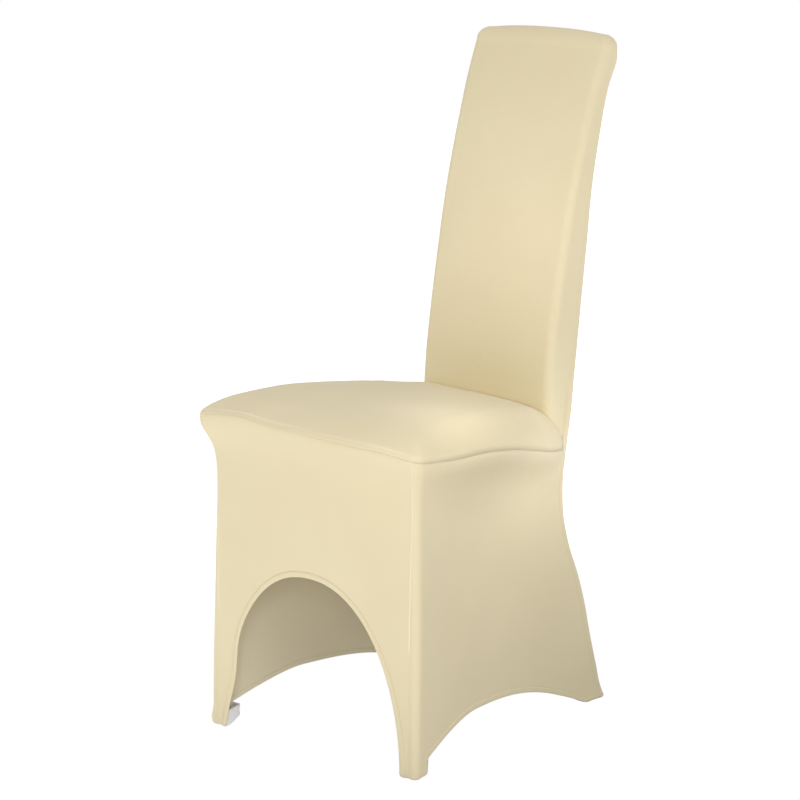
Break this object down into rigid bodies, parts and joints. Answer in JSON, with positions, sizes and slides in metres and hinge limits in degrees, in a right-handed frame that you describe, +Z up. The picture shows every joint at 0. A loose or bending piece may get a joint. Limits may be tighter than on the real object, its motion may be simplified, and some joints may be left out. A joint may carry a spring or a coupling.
{
  "type": "stretch chair cover",
  "caption": "Fitted cream stretch cover for a tall-backed dining chair: crowned seat, curved back, skirts drawn down to the feet with an open arch on each side.",
  "frame": {"origin": "on the floor, under the middle of the cover's bounding box", "axes": "+Z up, the front of the seat faces -Y, +X to the right as seen from the front"},
  "size_m": [0.45, 0.6025, 1.0655],
  "materials": {
    "cream_spandex": "satin",
    "sole_webbing": "matte"
  },
  "bodies": {
    "root": {"front_skirt": "cream_spandex", "side_skirt_right": "cream_spandex", "side_skirt_left": "cream_spandex", "back_panel": "cream_spandex", "inner_back": "cream_spandex", "seat_panel": "cream_spandex", "foot_pocket_front_right": "sole_webbing", "foot_pocket_front_left": "sole_webbing", "foot_pocket_rear_right": "sole_webbing", "foot_pocket_rear_left": "sole_webbing"}
  },
  "joints": []
}
